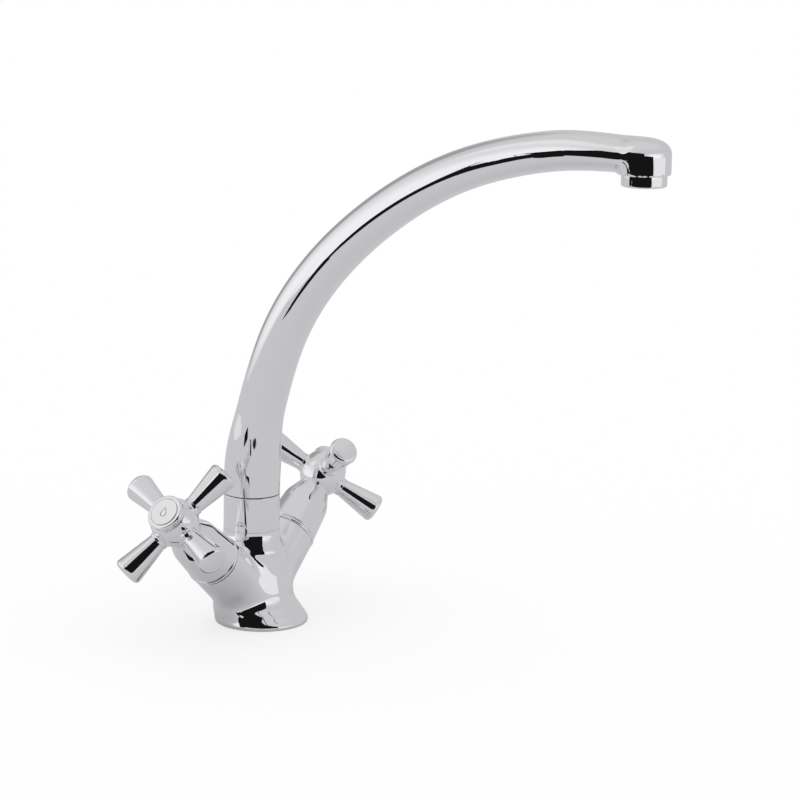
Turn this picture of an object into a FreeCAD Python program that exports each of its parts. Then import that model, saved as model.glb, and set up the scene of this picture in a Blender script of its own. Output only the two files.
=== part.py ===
"""Kitchen mixer tap with two crosshead handles and a swivel spout, in millimetres.

The origin is the centre of the foot on the worktop. Z is up, the spout points to -Y,
the hot handle is on the -X side and the cold handle on the +X side.
"""
import FreeCAD, Part
import math
import os

V = FreeCAD.Vector

# Driving dimensions: foot and trunk of the body
foot_radius = 25.0
foot_edge_radius = 24.7
column_shift = 6.9
column_radius = 15.0
column_top = 50.0
# Trunk from the foot's rim up to the column: shares of its height, of its spread and of its shift back
trunk_shape = (
    (0.045, 1.0, 0.03),
    (0.12, 0.81, 0.30),
    (0.19, 0.59, 0.45),
    (0.27, 0.50, 0.61),
    (0.36, 0.47, 0.67),
    (0.50, 0.35, 0.79),
    (0.63, 0.25, 0.88),
    (0.76, 0.16, 0.94),
    (0.88, 0.08, 0.98),
    (1.0, 0.0, 1.0),
)

# Driving dimensions: underside of the body
base_groove_inner = 19.3
base_groove_width = 3.1
base_groove_depth = 1.5
base_seal_side_gap = 0.1
stud_shift = 9.5
stud_hole_radius = 3.4
stud_hole_depth = 14.0
inlet_spread = 9.0
inlet_radius = 4.5
inlet_depth = 12.0
inlet_drill_radius = 3.0
inlet_drill_length = 6.5

# Driving dimensions: valve arms, along the axis of each valve
valve_tilt = 38.8
valve_origin_height = 10.9
arm_start = 6.0
arm_start_radius = 15.5
arm_length = 39.0
arm_end_radius = 14.4
chamber_depth = 26.0
chamber_radius = 8.05
seat_port_radius = 3.2
seat_port_length = 10.0
cross_port_rise = 5.0
cross_port_radius = 2.8
cross_port_reach = 18.0

# Driving dimensions: headwork, discs and spindle
barrel_gap = 0.05
seat_seal_thickness = 1.6
seat_seal_inner = 3.4
seat_seal_side_gap = 0.65
headwork_wall = 1.4
disc_side_gap = 0.3
disc_thickness = 3.0
disc_face_gap = 0.05
disc_port_radius = 1.7
disc_port_offset = 3.3
window_radius = 2.1
window_count = 4
headwork_flange_margin = 0.4
headwork_flange_thickness = 2.0
headwork_hex_flats = 17.0
headwork_hex_height = 5.0
headwork_neck_wall = 1.65
headwork_recess = 1.2
spindle_radius = 4.0
spindle_running_gap = 0.05
spindle_head_side_gap = 0.4
spindle_head_height = 3.4
spindle_head_gap = 0.3
spindle_ring_depth = 15.6
spindle_ring_section = 1.06
ring_groove_gap = 0.06
spline_step = 0.6
spline_lead = 0.4
spline_top_gap = 0.5
circlip_thickness = 0.8
circlip_width = 1.5
circlip_groove_depth = 0.6
circlip_gap = 0.12

# Driving dimensions: bead ring and shroud
bead_radius = 14.7
bead_thickness = 2.4
bead_bore_gap = 0.2
shroud_base_radius = 14.2
shroud_shoulder_radius = 12.6
shroud_side_height = 18.6
shroud_dome_radius = 8.8
shroud_dome_height = 10.8
shroud_dome_bulge = 0.3
shroud_wall = 1.3
shroud_top_wall = 2.0
shroud_bore_gap = 0.15

# Driving dimensions: crosshead handle
hub_gap = 0.6
hub_base_radius = 7.4
hub_lower_height = 10.1
hub_lower_bulge = 0.24
hub_belly_radius = 12.5
hub_upper_height = 9.5
hub_upper_bulge = 0.115
hub_top_radius = 10.3
hub_spline_gap = 0.05
hub_seat_rise = 3.0
hub_pocket_radius = 5.0
arm_boss_radius = 5.4
arm_boss_proud = 0.9
arm_count = 4
arm_root_radius = 4.9
arm_tip_radius = 7.4
arm_taper_length = 22.1
arm_tip_height = 1.2
arm_edge_radius = 0.8
arm_edge_turn = 65.0
arm_spigot_radius = 2.5
arm_spigot_length = 4.0
arm_spigot_gap = 0.05
hot_rest_turn = 62.3
cold_rest_turn = 44.1
screw_head_radius = 3.5
screw_head_height = 2.6
screw_radius = 1.6
screw_length = 8.0
screw_gap = 0.05
screw_socket_radius = 1.4
screw_socket_depth = 1.5
cap_radius = 9.9
cap_height = 3.6
cap_bevel = 1.0
cap_plug_gap = 0.1
cap_plug_length = 2.2
knurl_count = 48
knurl_depth = 0.35
index_radius = 7.5
index_gap = 0.12
index_recess = 0.9
index_proud = 0.3

# Driving dimensions: collar, spout bearing and stem
collar_height = 18.7
collar_inner = 12.5
collar_gap = 0.05
bearing_thickness = 0.5
bearing_inset = 0.4
bearing_gap = 0.05
socket_gap = 0.06
socket_depth = 14.0
mixing_radius = 7.0
mixing_depth = 8.0
stem_radius = 10.5
stem_bore = 7.5
stem_bottom_gap = 0.3
stem_grip_length = 12.75
stem_press_gap = 0.02
stem_groove_rise = 6.0
stem_ring_section = 1.8
stem_lock_drop = 5.7
stem_lock_depth = 1.3
grub_radius = 2.0
grub_gap = 0.05
grub_sunk = 0.3
grub_tip_radius = 1.2
grub_tip_gap = 0.3
grub_tip_length = 2.0
grub_socket_radius = 1.0
grub_socket_depth = 1.5

# Driving dimensions: spout, with the points of its centre line as (reach, rise above the spout's foot)
spout_line = (
    (0.4, 14.7),
    (3.2, 36.2),
    (8.5, 57.1),
    (20.0, 88.5),
    (41.5, 121.2),
    (75.1, 152.8),
    (123.0, 180.9),
    (163.1, 192.9),
    (203.1, 196.6),
    (224.8, 196.3),
)
spout_neck_radius = 13.2
spout_taper_radius = 9.4
spout_swell_start = 16.0
spout_swell_length = 28.0
spout_nose_length = 34.0
spout_nose_radius = 8.0
spout_section_pitch = 11.0
spout_bore_end = 5.0
boss_radius = 12.9
boss_upper_radius = 12.3
boss_drop = 9.0
boss_side_height = 11.9
boss_crown_radius = 7.6
boss_crown_rise = 4.9
boss_shoulder_bulge = 0.42
boss_top_rise = 1.0
boss_edge_radius = 0.8
boss_wall = 3.0
boss_bore_depth = 4.9

# Driving dimensions: aerator
aerator_radius = 11.1
aerator_length = 5.7
aerator_edge_radius = 1.2
aerator_thread_gap = 0.05
aerator_wall = 1.45
aerator_lip_width = 1.0
aerator_lip_height = 1.0
washer_thickness = 1.6
screen_thickness = 0.8
screen_hole_radius = 0.55
screen_hole_pitch = 1.9
insert_height = 5.0
insert_side_gap = 0.1
insert_hole_radius = 1.0
insert_hole_ring = 4.8
insert_hole_count = 8

# Places on the column, worked out from the driving dimensions
column_center = V(0, column_shift, 0)
base_groove_outer = base_groove_inner + base_groove_width
inlet_drill_top = inlet_depth + inlet_drill_length
collar_top = column_top + collar_height
socket_radius = stem_radius + socket_gap
socket_bottom = column_top - socket_depth
mixing_bottom = socket_bottom - mixing_depth
cross_port_height = mixing_bottom + cross_port_rise
bearing_radius = column_radius - bearing_inset
spout_bottom = collar_top + bearing_thickness + bearing_gap
stem_top = spout_bottom + stem_grip_length
stem_groove_heights = (socket_bottom + stem_groove_rise, column_top + stem_groove_rise)
stem_ring_groove = stem_radius - stem_ring_section - ring_groove_gap
stem_lock_height = collar_top - stem_lock_drop
stem_lock_radius = stem_radius - stem_lock_depth

# Places along the axis of each valve
arm_end = arm_start + arm_length
chamber_bottom = arm_end - chamber_depth
seat_port_start = chamber_bottom - seat_port_length
seat_seal_outer = chamber_radius - seat_seal_side_gap
headwork_bottom = chamber_bottom + seat_seal_thickness
disc_bore_radius = chamber_radius - barrel_gap - headwork_wall
disc_radius = disc_bore_radius - disc_side_gap
moving_disc_bottom = headwork_bottom + disc_thickness + disc_face_gap
spindle_bottom = moving_disc_bottom + disc_thickness
spindle_head_top = spindle_bottom + spindle_head_height
spindle_head_radius = disc_bore_radius - spindle_head_side_gap
disc_bore_top = spindle_head_top + spindle_head_gap
spindle_bore = spindle_radius + spindle_running_gap
HEX_SIDES = 6
headwork_hex_corner = headwork_hex_flats / 2 / math.cos(math.pi / HEX_SIDES)
headwork_flange_radius = headwork_hex_corner + headwork_flange_margin
headwork_neck_radius = spindle_bore + headwork_neck_wall
shroud_base = arm_end + bead_thickness
shroud_shoulder = shroud_base + shroud_side_height
shroud_top = shroud_shoulder + shroud_dome_height
headwork_top = shroud_top - headwork_recess
circlip_bottom = headwork_top + circlip_gap
spindle_ring_place = headwork_top - spindle_ring_depth
spindle_groove_radius = spindle_radius - spindle_ring_section - ring_groove_gap / 2
hub_base = shroud_top + hub_gap
hub_belly = hub_base + hub_lower_height
hub_top = hub_belly + hub_upper_height
hub_seat = hub_belly + hub_seat_rise
spline_radius = spindle_radius - spline_step
spline_start = hub_base - spline_lead
spline_top = hub_seat - spline_top_gap
arm_boss_reach = hub_belly_radius + arm_boss_proud
arm_tip_place = arm_boss_reach + arm_taper_length
arm_reach = arm_tip_place + arm_tip_height

# Places at the outlet
boss_reach = spout_line[-1][0]
boss_bottom = spout_bottom + spout_line[-1][1] - boss_drop
boss_shoulder = boss_bottom + boss_side_height
boss_crown_height = boss_shoulder + boss_crown_rise
boss_top = boss_crown_height + boss_top_rise
boss_bore_radius = boss_radius - boss_wall
boss_bore_top = boss_bottom + boss_bore_depth
aerator_bottom = boss_bottom - aerator_length
aerator_thread_radius = boss_bore_radius - aerator_thread_gap
aerator_thread_top = boss_bore_top - washer_thickness
aerator_bore = aerator_thread_radius - aerator_wall
aerator_lip_radius = aerator_bore - aerator_lip_width

FULL_TURN = 360.0
QUARTER_TURN = 90.0
BACK_SEAM = 90.0
UNDER_SEAM = -90.0
X_AXIS = V(1, 0, 0)
Z_AXIS = V(0, 0, 1)


def cylinder(radius, low, high):
    return Part.makeCylinder(radius, high - low, V(0, 0, low))


def ring(outer, inner, low, high):
    return cylinder(outer, low, high).cut(cylinder(inner, low, high))


def torus(ring_radius, section_radius, height):
    return Part.makeTorus(ring_radius, section_radius, V(0, 0, height), Z_AXIS)


def turned(*steps):
    """Turn an outline about Z. A step is a corner (radius, height), or an arc (middle, end)."""
    edges = []
    first = V(steps[0][0], 0, steps[0][1])
    here = first
    for step in steps[1:] + (steps[0],):
        is_arc = isinstance(step[0], tuple)
        end = step[1] if is_arc else step
        there = V(end[0], 0, end[1])
        if is_arc:
            middle = V(step[0][0], 0, step[0][1])
            edges.append(Part.Arc(here, middle, there).toShape())
        else:
            edges.append(Part.LineSegment(here, there).toShape())
        here = there
    face = Part.Face(Part.Wire(edges))
    return face.revolve(V(0, 0, 0), Z_AXIS, FULL_TURN)


def bulge_point(start, end, share):
    """Middle point of an arc from start to end that bulges outward by a share of half its chord."""
    middle = ((start[0] + end[0]) / 2, (start[1] + end[1]) / 2)
    half = ((end[0] - start[0]) / 2, (end[1] - start[1]) / 2)
    return (middle[0] + half[1] * share, middle[1] - half[0] * share)


def quarter_point(center, radius, degrees):
    angle = math.radians(degrees)
    return (center[0] + radius * math.cos(angle), center[1] + radius * math.sin(angle))


def moved(shape, place):
    copy = shape.copy()
    copy.translate(place)
    return copy


def turned_by(shape, degrees):
    copy = shape.copy()
    copy.rotate(V(0, 0, 0), Z_AXIS, degrees)
    return copy


def laid_out(shape, degrees, height):
    """Turn a piece that stands on Z so that it points sideways from the axis at a height."""
    copy = shape.copy()
    copy.rotate(V(0, 0, 0), V(0, 1, 0), QUARTER_TURN)
    copy.rotate(V(0, 0, 0), Z_AXIS, degrees)
    copy.translate(V(0, 0, height))
    return copy


def around(shape, count, height):
    return [laid_out(shape, FULL_TURN / count * index, height) for index in range(count)]


def on_valve(shape, side):
    """Put a piece made on the Z axis onto the valve axis of the side, -1 hot or +1 cold."""
    tilt = math.radians(valve_tilt)
    along = V(side * math.cos(tilt), 0, math.sin(tilt))
    across = V(0, 1, 0)
    up = along.cross(across)
    copy = shape.copy()
    copy.Placement = FreeCAD.Placement(
        V(0, column_shift, valve_origin_height), FreeCAD.Rotation(across, up, along, "ZXY")
    ).multiply(copy.Placement)
    return copy


def cap_point(edge, top):
    """Middle point of a round cap that rises from its edge to its top on the axis."""
    rise = top - edge[1]
    sphere_radius = (edge[0] ** 2 + rise ** 2) / (2 * rise)
    center_height = top - sphere_radius
    half_angle = math.asin(edge[0] / sphere_radius) / 2
    return (
        sphere_radius * math.sin(half_angle),
        center_height + sphere_radius * math.cos(half_angle),
    )


def circle_wire(center, normal, radius, start):
    """Circle square to a direction in the YZ plane. The start turn says where its seam lies."""
    wire = Part.Wire(Part.Circle(V(0, 0, 0), Z_AXIS, radius).toShape())
    wire.rotate(V(0, 0, 0), Z_AXIS, start)
    turn = FreeCAD.Rotation(X_AXIS, normal.cross(X_AXIS), normal, "ZXY")
    wire.Placement = FreeCAD.Placement(center, turn).multiply(wire.Placement)
    return wire


def body_outside():
    wires = [circle_wire(V(0, 0, 0), Z_AXIS, foot_edge_radius, BACK_SEAM)]
    for height_share, spread_share, shift_share in trunk_shape:
        center = V(0, column_shift * shift_share, column_top * height_share)
        radius = column_radius + (foot_radius - column_radius) * spread_share
        wires.append(circle_wire(center, Z_AXIS, radius, BACK_SEAM))
    trunk = Part.makeLoft(wires, True, False)
    arm = Part.makeCone(arm_start_radius, arm_end_radius, arm_length, V(0, 0, arm_start))
    solid = trunk.fuse([on_valve(arm, -1), on_valve(arm, 1)]).removeSplitter()
    return solid


def body():
    solid = body_outside()
    neck_tube = moved(cylinder(collar_inner - collar_gap, column_top, collar_top), column_center)
    solid = solid.fuse(neck_tube)
    groove = ring(base_groove_outer, base_groove_inner, 0, base_groove_depth)
    cuts = [groove]
    cuts.append(moved(cylinder(stud_hole_radius, 0, stud_hole_depth), V(0, -stud_shift, 0)))
    cuts.append(moved(cylinder(mixing_radius, mixing_bottom, socket_bottom), column_center))
    cuts.append(moved(cylinder(socket_radius, socket_bottom, collar_top), column_center))
    for side in (-1, 1):
        inlet = cylinder(inlet_radius, 0, inlet_depth)
        inlet = inlet.fuse(cylinder(inlet_drill_radius, 0, inlet_drill_top))
        cuts.append(moved(inlet, V(side * inlet_spread, column_shift, 0)))
        chamber = cylinder(chamber_radius, chamber_bottom, arm_end)
        port = cylinder(seat_port_radius, seat_port_start, chamber_bottom)
        cuts.append(on_valve(chamber.fuse(port), side))
        cross_port = laid_out(cylinder(cross_port_radius, 0, cross_port_reach), 0, 0)
        if side < 0:
            cross_port = turned_by(cross_port, FULL_TURN / 2)
        cuts.append(moved(cross_port, V(0, column_shift, cross_port_height)))
    cuts.append(grub_hole())
    return solid.cut(cuts)


def base_seal():
    outer = base_groove_outer - base_seal_side_gap
    inner = base_groove_inner + base_seal_side_gap
    return ring(outer, inner, 0, base_groove_depth)


def on_back(shape):
    """Put a piece that stands on Z at the back of the column, pointing to +Y."""
    return moved(laid_out(shape, QUARTER_TURN, stem_lock_height), column_center)


def grub_hole():
    return on_back(cylinder(grub_radius + grub_gap, 0, column_radius + grub_radius))


def spout_collar():
    sleeve = moved(ring(column_radius, collar_inner, column_top, collar_top), column_center)
    return sleeve.cut(grub_hole())


def spout_grub_screw():
    outer_end = column_radius - grub_sunk
    tip_end = stem_lock_radius + grub_tip_gap
    shank = cylinder(grub_radius, tip_end + grub_tip_length, outer_end)
    tip = cylinder(grub_tip_radius, tip_end, tip_end + grub_tip_length)
    socket = cylinder(grub_socket_radius, outer_end - grub_socket_depth, outer_end)
    return on_back(shank.fuse(tip).cut(socket))


def spout_bearing():
    washer = ring(bearing_radius, socket_radius, collar_top, collar_top + bearing_thickness)
    return moved(washer, column_center)


def spout_stem():
    tube = ring(stem_radius, stem_bore, socket_bottom + stem_bottom_gap, stem_top)
    for height in stem_groove_heights:
        half = stem_ring_section / 2 + ring_groove_gap
        tube = tube.cut(ring(stem_radius, stem_ring_groove, height - half, height + half))
    lock_half = grub_tip_radius + grub_tip_gap
    lock = ring(stem_radius, stem_lock_radius, stem_lock_height - lock_half, stem_lock_height + lock_half)
    return moved(tube.cut(lock), column_center)


def spout_seals():
    section = stem_ring_section / 2
    center = stem_ring_groove + ring_groove_gap + section
    return [moved(torus(center, section, height), column_center) for height in stem_groove_heights]


def spout_point(reach, height):
    return V(0, column_shift - reach, height)


def smooth_step(low, high, value):
    """Share from 0 at low to 1 at high, with an easy start and end."""
    share = min(max((value - low) / (high - low), 0.0), 1.0)
    return share * share * (3 - 2 * share)


def spout_center_line():
    points = [spout_point(0, spout_bottom)]
    points += [spout_point(reach, spout_bottom + rise) for reach, rise in spout_line]
    line = Part.BSplineCurve()
    line.interpolate(points, InitialTangent=Z_AXIS, FinalTangent=points[-1] - points[-2])
    return line


def spout_outer_radius(along, length):
    taper = spout_neck_radius + (spout_taper_radius - spout_neck_radius) * along / length
    swell = 1 - smooth_step(spout_swell_start, spout_swell_start + spout_swell_length, along)
    nose = smooth_step(length - spout_nose_length, length, along)
    return taper + (column_radius - taper) * swell + (spout_nose_radius - spout_taper_radius) * nose


def spout_bore_radius(along, length):
    return stem_bore + (spout_bore_end - stem_bore) * along / length


def spout_loft(radius_at):
    """Loft evenly spaced circles square to the centre line, with the radius that a function gives."""
    line = spout_center_line()
    length = line.length()
    steps = round(length / spout_section_pitch)
    wires = []
    for index in range(steps + 1):
        along = length * index / steps
        place = line.parameterAtDistance(along, line.FirstParameter)
        direction = V(*line.tangent(place)[0])
        wires.append(circle_wire(line.value(place), direction, radius_at(along, length), UNDER_SEAM))
    return Part.makeLoft(wires, True, False)


def on_outlet(shape):
    """Put a piece made on the Z axis below the end of the spout."""
    return moved(shape, spout_point(boss_reach, 0))


def outlet_boss():
    edge_center = (boss_radius - boss_edge_radius, boss_bottom + boss_edge_radius)
    edge_middle = quarter_point(edge_center, boss_edge_radius, -QUARTER_TURN / 2)
    shoulder = (boss_upper_radius, boss_shoulder)
    crown = (boss_crown_radius, boss_crown_height)
    solid = turned(
        (0, boss_bottom),
        (boss_radius - boss_edge_radius, boss_bottom),
        (edge_middle, (boss_radius, edge_center[1])),
        shoulder,
        (bulge_point(shoulder, crown, boss_shoulder_bulge), crown),
        (cap_point(crown, boss_top), (0, boss_top)),
    )
    return on_outlet(solid)


def spout():
    solid = spout_loft(spout_outer_radius).fuse(outlet_boss()).removeSplitter()
    bore = spout_loft(spout_bore_radius)
    socket = moved(cylinder(stem_radius + stem_press_gap, spout_bottom, stem_top), column_center)
    outlet = on_outlet(cylinder(boss_bore_radius, boss_bottom, boss_bore_top))
    drop = on_outlet(cylinder(spout_bore_end, boss_bore_top, boss_shoulder))
    for tool in (drop, outlet, socket, bore):
        solid = solid.cut(tool)
    return solid


def aerator_housing():
    edge_center = (aerator_radius - aerator_edge_radius, aerator_bottom + aerator_edge_radius)
    edge_middle = quarter_point(edge_center, aerator_edge_radius, -QUARTER_TURN / 2)
    outside = turned(
        (0, aerator_bottom),
        (aerator_radius - aerator_edge_radius, aerator_bottom),
        (edge_middle, (aerator_radius, edge_center[1])),
        (aerator_radius, boss_bottom),
        (aerator_thread_radius, boss_bottom),
        (aerator_thread_radius, aerator_thread_top),
        (0, aerator_thread_top),
    )
    lip_top = aerator_bottom + aerator_lip_height
    bore = cylinder(aerator_bore, lip_top, aerator_thread_top)
    mouth = cylinder(aerator_lip_radius, aerator_bottom, lip_top)
    return on_outlet(outside.cut([bore, mouth]))


def aerator_screen():
    low = aerator_bottom + aerator_lip_height
    disc = cylinder(aerator_bore - insert_side_gap, low, low + screen_thickness)
    steps = int(aerator_lip_radius / screen_hole_pitch)
    holes = []
    for column in range(-steps, steps + 1):
        for row in range(-steps, steps + 1):
            place = V(column * screen_hole_pitch, row * screen_hole_pitch, 0)
            if place.Length + screen_hole_radius < aerator_lip_radius:
                holes.append(moved(cylinder(screen_hole_radius, low, low + screen_thickness), place))
    return on_outlet(disc.cut(holes))


def aerator_insert():
    low = aerator_bottom + aerator_lip_height + screen_thickness
    high = low + insert_height
    plug = cylinder(aerator_bore - insert_side_gap, low, high)
    holes = []
    for index in range(insert_hole_count):
        hole = moved(cylinder(insert_hole_radius, low, high), V(insert_hole_ring, 0, 0))
        holes.append(turned_by(hole, FULL_TURN / insert_hole_count * index))
    return on_outlet(plug.cut(holes))


def aerator_washer():
    return on_outlet(ring(aerator_thread_radius, aerator_lip_radius, aerator_thread_top, boss_bore_top))


def headwork():
    barrel = cylinder(chamber_radius - barrel_gap, headwork_bottom, arm_end)
    flange_top = arm_end + headwork_flange_thickness
    hex_top = flange_top + headwork_hex_height
    flange = cylinder(headwork_flange_radius, arm_end, flange_top)
    corner = Part.Vertex(headwork_hex_corner, 0, flange_top)
    corners = [turned_by(corner, FULL_TURN / HEX_SIDES * side).Point for side in range(HEX_SIDES + 1)]
    hexagon = Part.Face(Part.makePolygon(corners)).extrude(V(0, 0, headwork_hex_height))
    neck = cylinder(headwork_neck_radius, hex_top, headwork_top)
    solid = barrel.fuse([flange, hexagon, neck])
    cuts = [cylinder(disc_bore_radius, headwork_bottom, disc_bore_top)]
    cuts.append(cylinder(spindle_bore, disc_bore_top, headwork_top))
    window = cylinder(window_radius, 0, chamber_radius)
    cuts += around(window, window_count, moving_disc_bottom + disc_thickness / 2)
    return solid.cut(cuts)


def seat_seal():
    return ring(seat_seal_outer, seat_seal_inner, chamber_bottom, headwork_bottom)


def ceramic_disc(low):
    disc = cylinder(disc_radius, low, low + disc_thickness)
    ports = []
    for place in (-disc_port_offset, disc_port_offset):
        ports.append(moved(cylinder(disc_port_radius, low, low + disc_thickness), V(0, place, 0)))
    return disc.cut(ports)


def spindle():
    head = cylinder(spindle_head_radius, spindle_bottom, spindle_head_top)
    shaft = cylinder(spindle_radius, spindle_head_top, spline_start)
    spline = cylinder(spline_radius, spline_start, spline_top)
    solid = head.fuse([shaft, spline])
    half = spindle_ring_section / 2 + ring_groove_gap
    low = spindle_ring_place - half
    cuts = [ring(spindle_radius, spindle_groove_radius, low, low + 2 * half)]
    clip_top = circlip_bottom + circlip_thickness
    cuts.append(ring(spindle_radius, spindle_radius - circlip_groove_depth, circlip_bottom, clip_top))
    cuts.append(cylinder(screw_radius + screw_gap, hub_seat - screw_length - screw_gap, spline_top))
    return solid.cut(cuts)


def spindle_ring():
    section = spindle_ring_section / 2
    return torus(spindle_groove_radius + ring_groove_gap / 2 + section, section, spindle_ring_place)


def circlip():
    inner = spindle_radius - circlip_groove_depth
    clip = ring(inner + circlip_width, inner, circlip_bottom, circlip_bottom + circlip_thickness)
    slot = Part.makeBox(circlip_width * 4, inner, circlip_thickness, V(0, -inner / 2, circlip_bottom))
    return clip.cut(slot)


def bead_ring():
    bore = headwork_flange_radius + bead_bore_gap
    top = arm_end + bead_thickness
    side = bead_radius - bead_thickness / 2
    crown = (bead_radius, arm_end + bead_thickness / 2)
    return turned((bore, arm_end), (side, arm_end), (crown, (side, top)), (bore, top))


def shroud():
    shoulder = (shroud_shoulder_radius, shroud_shoulder)
    dome = (shroud_dome_radius, shroud_top)
    outside = turned(
        (0, shroud_base),
        (shroud_base_radius, shroud_base),
        shoulder,
        (bulge_point(shoulder, dome, shroud_dome_bulge), dome),
        (0, shroud_top),
    )
    inner_shoulder = (shroud_shoulder_radius - shroud_wall, shroud_shoulder - shroud_wall)
    inner_dome = (shroud_dome_radius - shroud_wall, shroud_top - shroud_top_wall)
    inside = turned(
        (0, shroud_base),
        (shroud_base_radius - shroud_wall, shroud_base),
        inner_shoulder,
        (bulge_point(inner_shoulder, inner_dome, shroud_dome_bulge), inner_dome),
        (0, inner_dome[1]),
    )
    bore = cylinder(headwork_neck_radius + shroud_bore_gap, inner_dome[1], shroud_top)
    return outside.cut([inside, bore])


def handle_hub():
    base = (hub_base_radius, hub_base)
    belly = (hub_belly_radius, hub_belly)
    top = (hub_top_radius, hub_top)
    solid = turned(
        (0, hub_base),
        base,
        (bulge_point(base, belly, hub_lower_bulge), belly),
        (bulge_point(belly, top, hub_upper_bulge), top),
        (0, hub_top),
    )
    solid = solid.fuse(around(cylinder(arm_boss_radius, 0, arm_boss_reach), arm_count, hub_belly))
    cuts = [cylinder(spline_radius + hub_spline_gap, hub_base, hub_seat)]
    cuts.append(cylinder(hub_pocket_radius, hub_seat, hub_top))
    hole_bottom = arm_boss_reach - arm_spigot_length - arm_spigot_gap
    hole = cylinder(arm_spigot_radius + arm_spigot_gap, hole_bottom, arm_boss_reach)
    return solid.cut(cuts + around(hole, arm_count, hub_belly))


def handle_arms():
    edge_center = (arm_tip_radius - arm_edge_radius, arm_tip_place)
    edge_end = quarter_point(edge_center, arm_edge_radius, arm_edge_turn)
    arm = turned(
        (0, arm_boss_reach - arm_spigot_length),
        (arm_spigot_radius, arm_boss_reach - arm_spigot_length),
        (arm_spigot_radius, arm_boss_reach),
        (arm_root_radius, arm_boss_reach),
        (arm_tip_radius, arm_tip_place),
        (quarter_point(edge_center, arm_edge_radius, arm_edge_turn / 2), edge_end),
        (cap_point(edge_end, arm_reach), (0, arm_reach)),
    )
    return around(arm, arm_count, hub_belly)


def handle_screw():
    head_top = hub_seat + screw_head_height
    head = cylinder(screw_head_radius, hub_seat, head_top)
    shank = cylinder(screw_radius, hub_seat - screw_length, hub_seat)
    socket = cylinder(screw_socket_radius, head_top - screw_socket_depth, head_top)
    return head.fuse(shank).cut(socket)


def index_cap():
    knurl_top = hub_top + cap_height - cap_bevel
    corners = []
    for index in range(2 * knurl_count + 1):
        radius = cap_radius - knurl_depth * (index % 2)
        angle = math.radians(FULL_TURN / (2 * knurl_count) * index)
        corners.append(V(radius * math.cos(angle), radius * math.sin(angle), hub_top))
    knurled = Part.Face(Part.makePolygon(corners)).extrude(V(0, 0, knurl_top - hub_top))
    cap_top = hub_top + cap_height
    top_radius = cap_radius - knurl_depth
    flat_radius = top_radius - cap_bevel
    bevel_middle = quarter_point((flat_radius, knurl_top), cap_bevel, QUARTER_TURN / 2)
    crown = turned(
        (0, knurl_top),
        (top_radius, knurl_top),
        (bevel_middle, (flat_radius, cap_top)),
        (0, cap_top),
    )
    plug = cylinder(hub_pocket_radius - cap_plug_gap, hub_top - cap_plug_length, hub_top)
    recess = cylinder(index_radius, cap_top - index_recess, cap_top)
    return knurled.fuse([crown, plug]).cut(recess)


def index_plate():
    low = hub_top + cap_height - index_recess
    high = hub_top + cap_height + index_proud
    edge = index_radius - index_gap
    return turned((0, low), (edge, low), (edge, high - index_proud), (edge - index_proud, high), (0, high))


def save(name, shape):
    solids = shape if isinstance(shape, list) else [shape]
    Part.makeCompound(solids).exportStep("parts/" + name + ".step")
    volume = sum(solid.Volume for solid in solids)
    valid = all(solid.isValid() for solid in solids)
    print(name, sum(len(solid.Solids) for solid in solids), "solids", round(volume, 1), "mm3", valid)


def save_valve(side, name, rest_turn):
    fixed = {
        "bead_ring": bead_ring(),
        "shroud": shroud(),
        "headwork": headwork(),
        "seat_seal": seat_seal(),
        "fixed_disc": ceramic_disc(headwork_bottom),
    }
    turning = {
        "moving_disc": turned_by(ceramic_disc(moving_disc_bottom), QUARTER_TURN),
        "spindle": spindle(),
        "spindle_ring": spindle_ring(),
        "circlip": circlip(),
        "hub": handle_hub(),
        "handle_arms": handle_arms(),
        "handle_screw": handle_screw(),
        "index_cap": index_cap(),
        "index_plate": index_plate(),
    }
    for piece, shape in fixed.items():
        save(name + "_" + piece, on_valve(shape, side))
    for piece, shape in turning.items():
        solids = shape if isinstance(shape, list) else [shape]
        save(name + "_" + piece, [on_valve(turned_by(solid, rest_turn), side) for solid in solids])


def main():
    os.makedirs("parts", exist_ok=True)
    save("body", body())
    save("base_seal", base_seal())
    save("spout_collar", spout_collar())
    save("spout_grub_screw", spout_grub_screw())
    save("spout_bearing", spout_bearing())
    save("spout_stem", spout_stem())
    save("spout_seals", spout_seals())
    save("spout", spout())
    save("aerator_housing", aerator_housing())
    save("aerator_screen", aerator_screen())
    save("aerator_insert", aerator_insert())
    save("aerator_washer", aerator_washer())
    save_valve(-1, "hot", hot_rest_turn)
    save_valve(1, "cold", cold_rest_turn)


main()
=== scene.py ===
"""Looks of the two-handle kitchen mixer tap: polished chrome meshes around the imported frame.

Shapes are written in millimetres in the tap's own frame and become metres when a mesh is made.
"""
import bmesh
import bpy
import itertools
import math
import numpy as np
from mathutils import Matrix, Vector


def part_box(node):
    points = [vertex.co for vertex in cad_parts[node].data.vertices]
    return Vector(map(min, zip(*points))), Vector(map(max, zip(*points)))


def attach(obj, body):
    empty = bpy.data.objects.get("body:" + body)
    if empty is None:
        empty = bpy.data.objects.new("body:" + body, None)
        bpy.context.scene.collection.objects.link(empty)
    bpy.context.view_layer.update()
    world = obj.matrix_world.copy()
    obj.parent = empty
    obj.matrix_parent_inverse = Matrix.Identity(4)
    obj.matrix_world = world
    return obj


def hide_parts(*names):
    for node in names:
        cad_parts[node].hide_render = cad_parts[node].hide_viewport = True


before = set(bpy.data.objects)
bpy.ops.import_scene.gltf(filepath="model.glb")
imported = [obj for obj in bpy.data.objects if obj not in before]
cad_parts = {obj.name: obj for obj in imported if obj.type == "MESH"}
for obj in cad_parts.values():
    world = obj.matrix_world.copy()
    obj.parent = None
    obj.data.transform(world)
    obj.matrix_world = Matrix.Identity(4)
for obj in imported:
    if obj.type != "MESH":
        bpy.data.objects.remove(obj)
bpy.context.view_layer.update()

MM = 0.001
UP = (0.0, 0.0, 1.0)
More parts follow.
